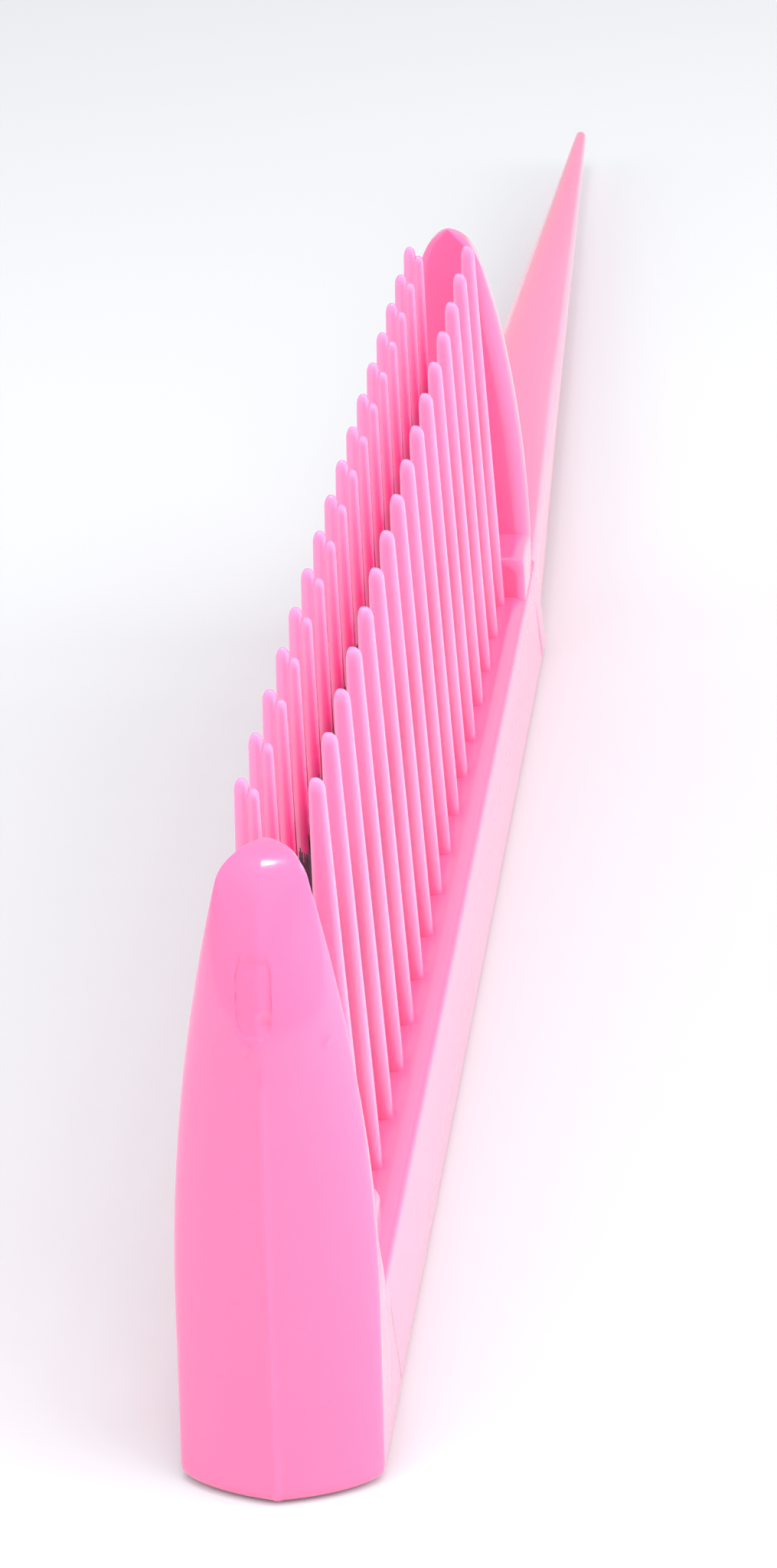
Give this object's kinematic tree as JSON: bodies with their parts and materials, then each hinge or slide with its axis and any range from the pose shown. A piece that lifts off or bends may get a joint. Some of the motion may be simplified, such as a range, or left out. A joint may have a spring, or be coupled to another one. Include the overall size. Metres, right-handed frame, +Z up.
{
  "type": "double-row tail comb",
  "caption": "Slim pointed-tail comb with a double row of long wide-set teeth, bristle tufts between the rows and bullet-shaped end guards.",
  "frame": {"origin": "bottom centre of the bounding box, on the underside of the spine", "axes": "+X from the head end along the spine to the tail's tip, +Y towards the row of double teeth, +Z up along the teeth"},
  "size_m": [0.2246, 0.0108, 0.0338],
  "materials": {
    "pink_plastic": "smooth glossy moulded plastic, slightly translucent",
    "bristle": "dark brown fine bristle, satin"
  },
  "bodies": {
    "root": {"spine": "pink_plastic", "head_guard": "pink_plastic", "tail_guard": "pink_plastic", "tail_handle": "pink_plastic", "single_tooth_01": "pink_plastic", "single_tooth_02": "pink_plastic", "single_tooth_03": "pink_plastic", "single_tooth_04": "pink_plastic", "single_tooth_05": "pink_plastic", "single_tooth_06": "pink_plastic", "single_tooth_07": "pink_plastic", "single_tooth_08": "pink_plastic", "single_tooth_09": "pink_plastic", "single_tooth_10": "pink_plastic", "single_tooth_11": "pink_plastic", "single_tooth_12": "pink_plastic", "single_tooth_13": "pink_plastic", "single_tooth_14": "pink_plastic", "single_tooth_15": "pink_plastic", "single_tooth_16": "pink_plastic", "double_tooth_01": "pink_plastic", "double_tooth_02": "pink_plastic", "double_tooth_03": "pink_plastic", "double_tooth_04": "pink_plastic", "double_tooth_05": "pink_plastic", "double_tooth_06": "pink_plastic", "double_tooth_07": "pink_plastic", "double_tooth_08": "pink_plastic", "double_tooth_09": "pink_plastic", "double_tooth_10": "pink_plastic", "double_tooth_11": "pink_plastic", "double_tooth_12": "pink_plastic", "double_tooth_13": "pink_plastic", "double_tooth_14": "pink_plastic", "double_tooth_15": "pink_plastic", "double_tooth_16": "pink_plastic", "bristle_tuft_01": "bristle", "bristle_tuft_02": "bristle", "bristle_tuft_03": "bristle", "bristle_tuft_04": "bristle", "bristle_tuft_05": "bristle", "bristle_tuft_06": "bristle", "bristle_tuft_07": "bristle", "bristle_tuft_08": "bristle", "bristle_tuft_09": "bristle", "bristle_tuft_10": "bristle", "bristle_tuft_11": "bristle", "bristle_tuft_12": "bristle", "bristle_tuft_13": "bristle", "bristle_tuft_14": "bristle", "bristle_tuft_15": "bristle"}
  },
  "joints": []
}
